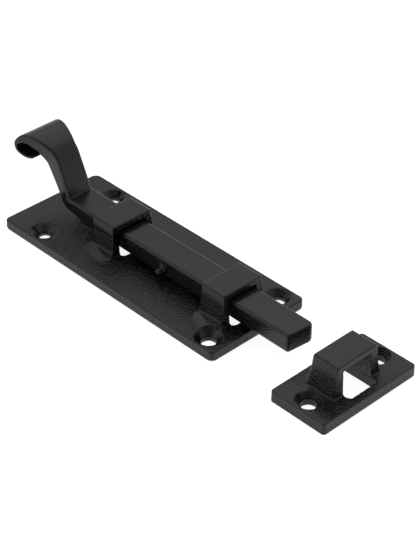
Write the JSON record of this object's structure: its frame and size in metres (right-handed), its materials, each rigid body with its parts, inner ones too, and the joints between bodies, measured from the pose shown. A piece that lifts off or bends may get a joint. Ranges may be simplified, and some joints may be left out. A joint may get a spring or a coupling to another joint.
{
  "type": "surface slide bolt with keep",
  "caption": "Black cast-iron surface slide bolt: bridged backplate, forged bar with a curled handle that slides, and a separate bridge keep.",
  "frame": {"origin": "centre of the backplate's underside", "axes": "+X along the bolt towards the keep, +Z out of the door's face"},
  "size_m": [0.1564, 0.0414, 0.0305],
  "materials": {
    "casting_black": "satin",
    "bar_black": "satin",
    "pin_black": "satin",
    "spring_steel": "satin"
  },
  "bodies": {
    "plate": {"backplate": "casting_black", "friction_spring": "spring_steel", "keep": "casting_black"},
    "bolt": {"bolt_bar": "bar_black", "stop_pin": "pin_black"}
  },
  "joints": [
    {"name": "bolt_slide", "type": "slide", "parent": "plate", "child": "bolt", "axis": [1, 0, 0], "range_m": [-0.0185, 0.0156]}
  ]
}
